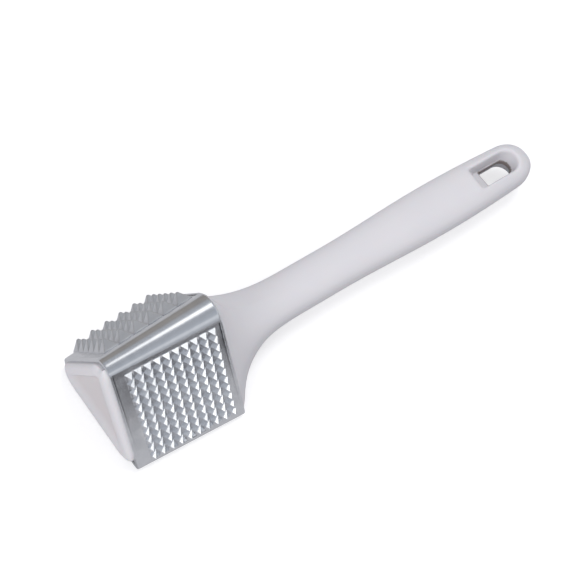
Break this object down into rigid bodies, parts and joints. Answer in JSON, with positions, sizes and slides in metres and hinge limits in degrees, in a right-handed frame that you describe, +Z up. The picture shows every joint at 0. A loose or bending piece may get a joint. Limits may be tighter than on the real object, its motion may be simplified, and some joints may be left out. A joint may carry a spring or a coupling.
{
  "type": "meat mallet",
  "caption": "Meat mallet with a three-sided metal head, one finely toothed face, one coarsely toothed face and a smooth face, on a straight moulded plastic handle with a hanging hole.",
  "frame": {"origin": "middle of the smooth pounding face, which is the face that the mallet lies on", "axes": "+X from the head's end cap along the handle to the hanging hole, +Z up from the smooth face"},
  "size_m": [0.2751, 0.0762, 0.0599],
  "materials": {
    "cast_aluminium": "cast and tumbled, polished on the ridge",
    "grey_plastic": "fine satin moulding texture",
    "steel": "plain turned",
    "brass": "plain turned"
  },
  "bodies": {
    "root": {"head_sleeve": "cast_aluminium", "end_cap": "grey_plastic", "handle": "grey_plastic", "core_screw": "steel", "core_washer": "steel", "core_insert": "brass"}
  },
  "joints": []
}
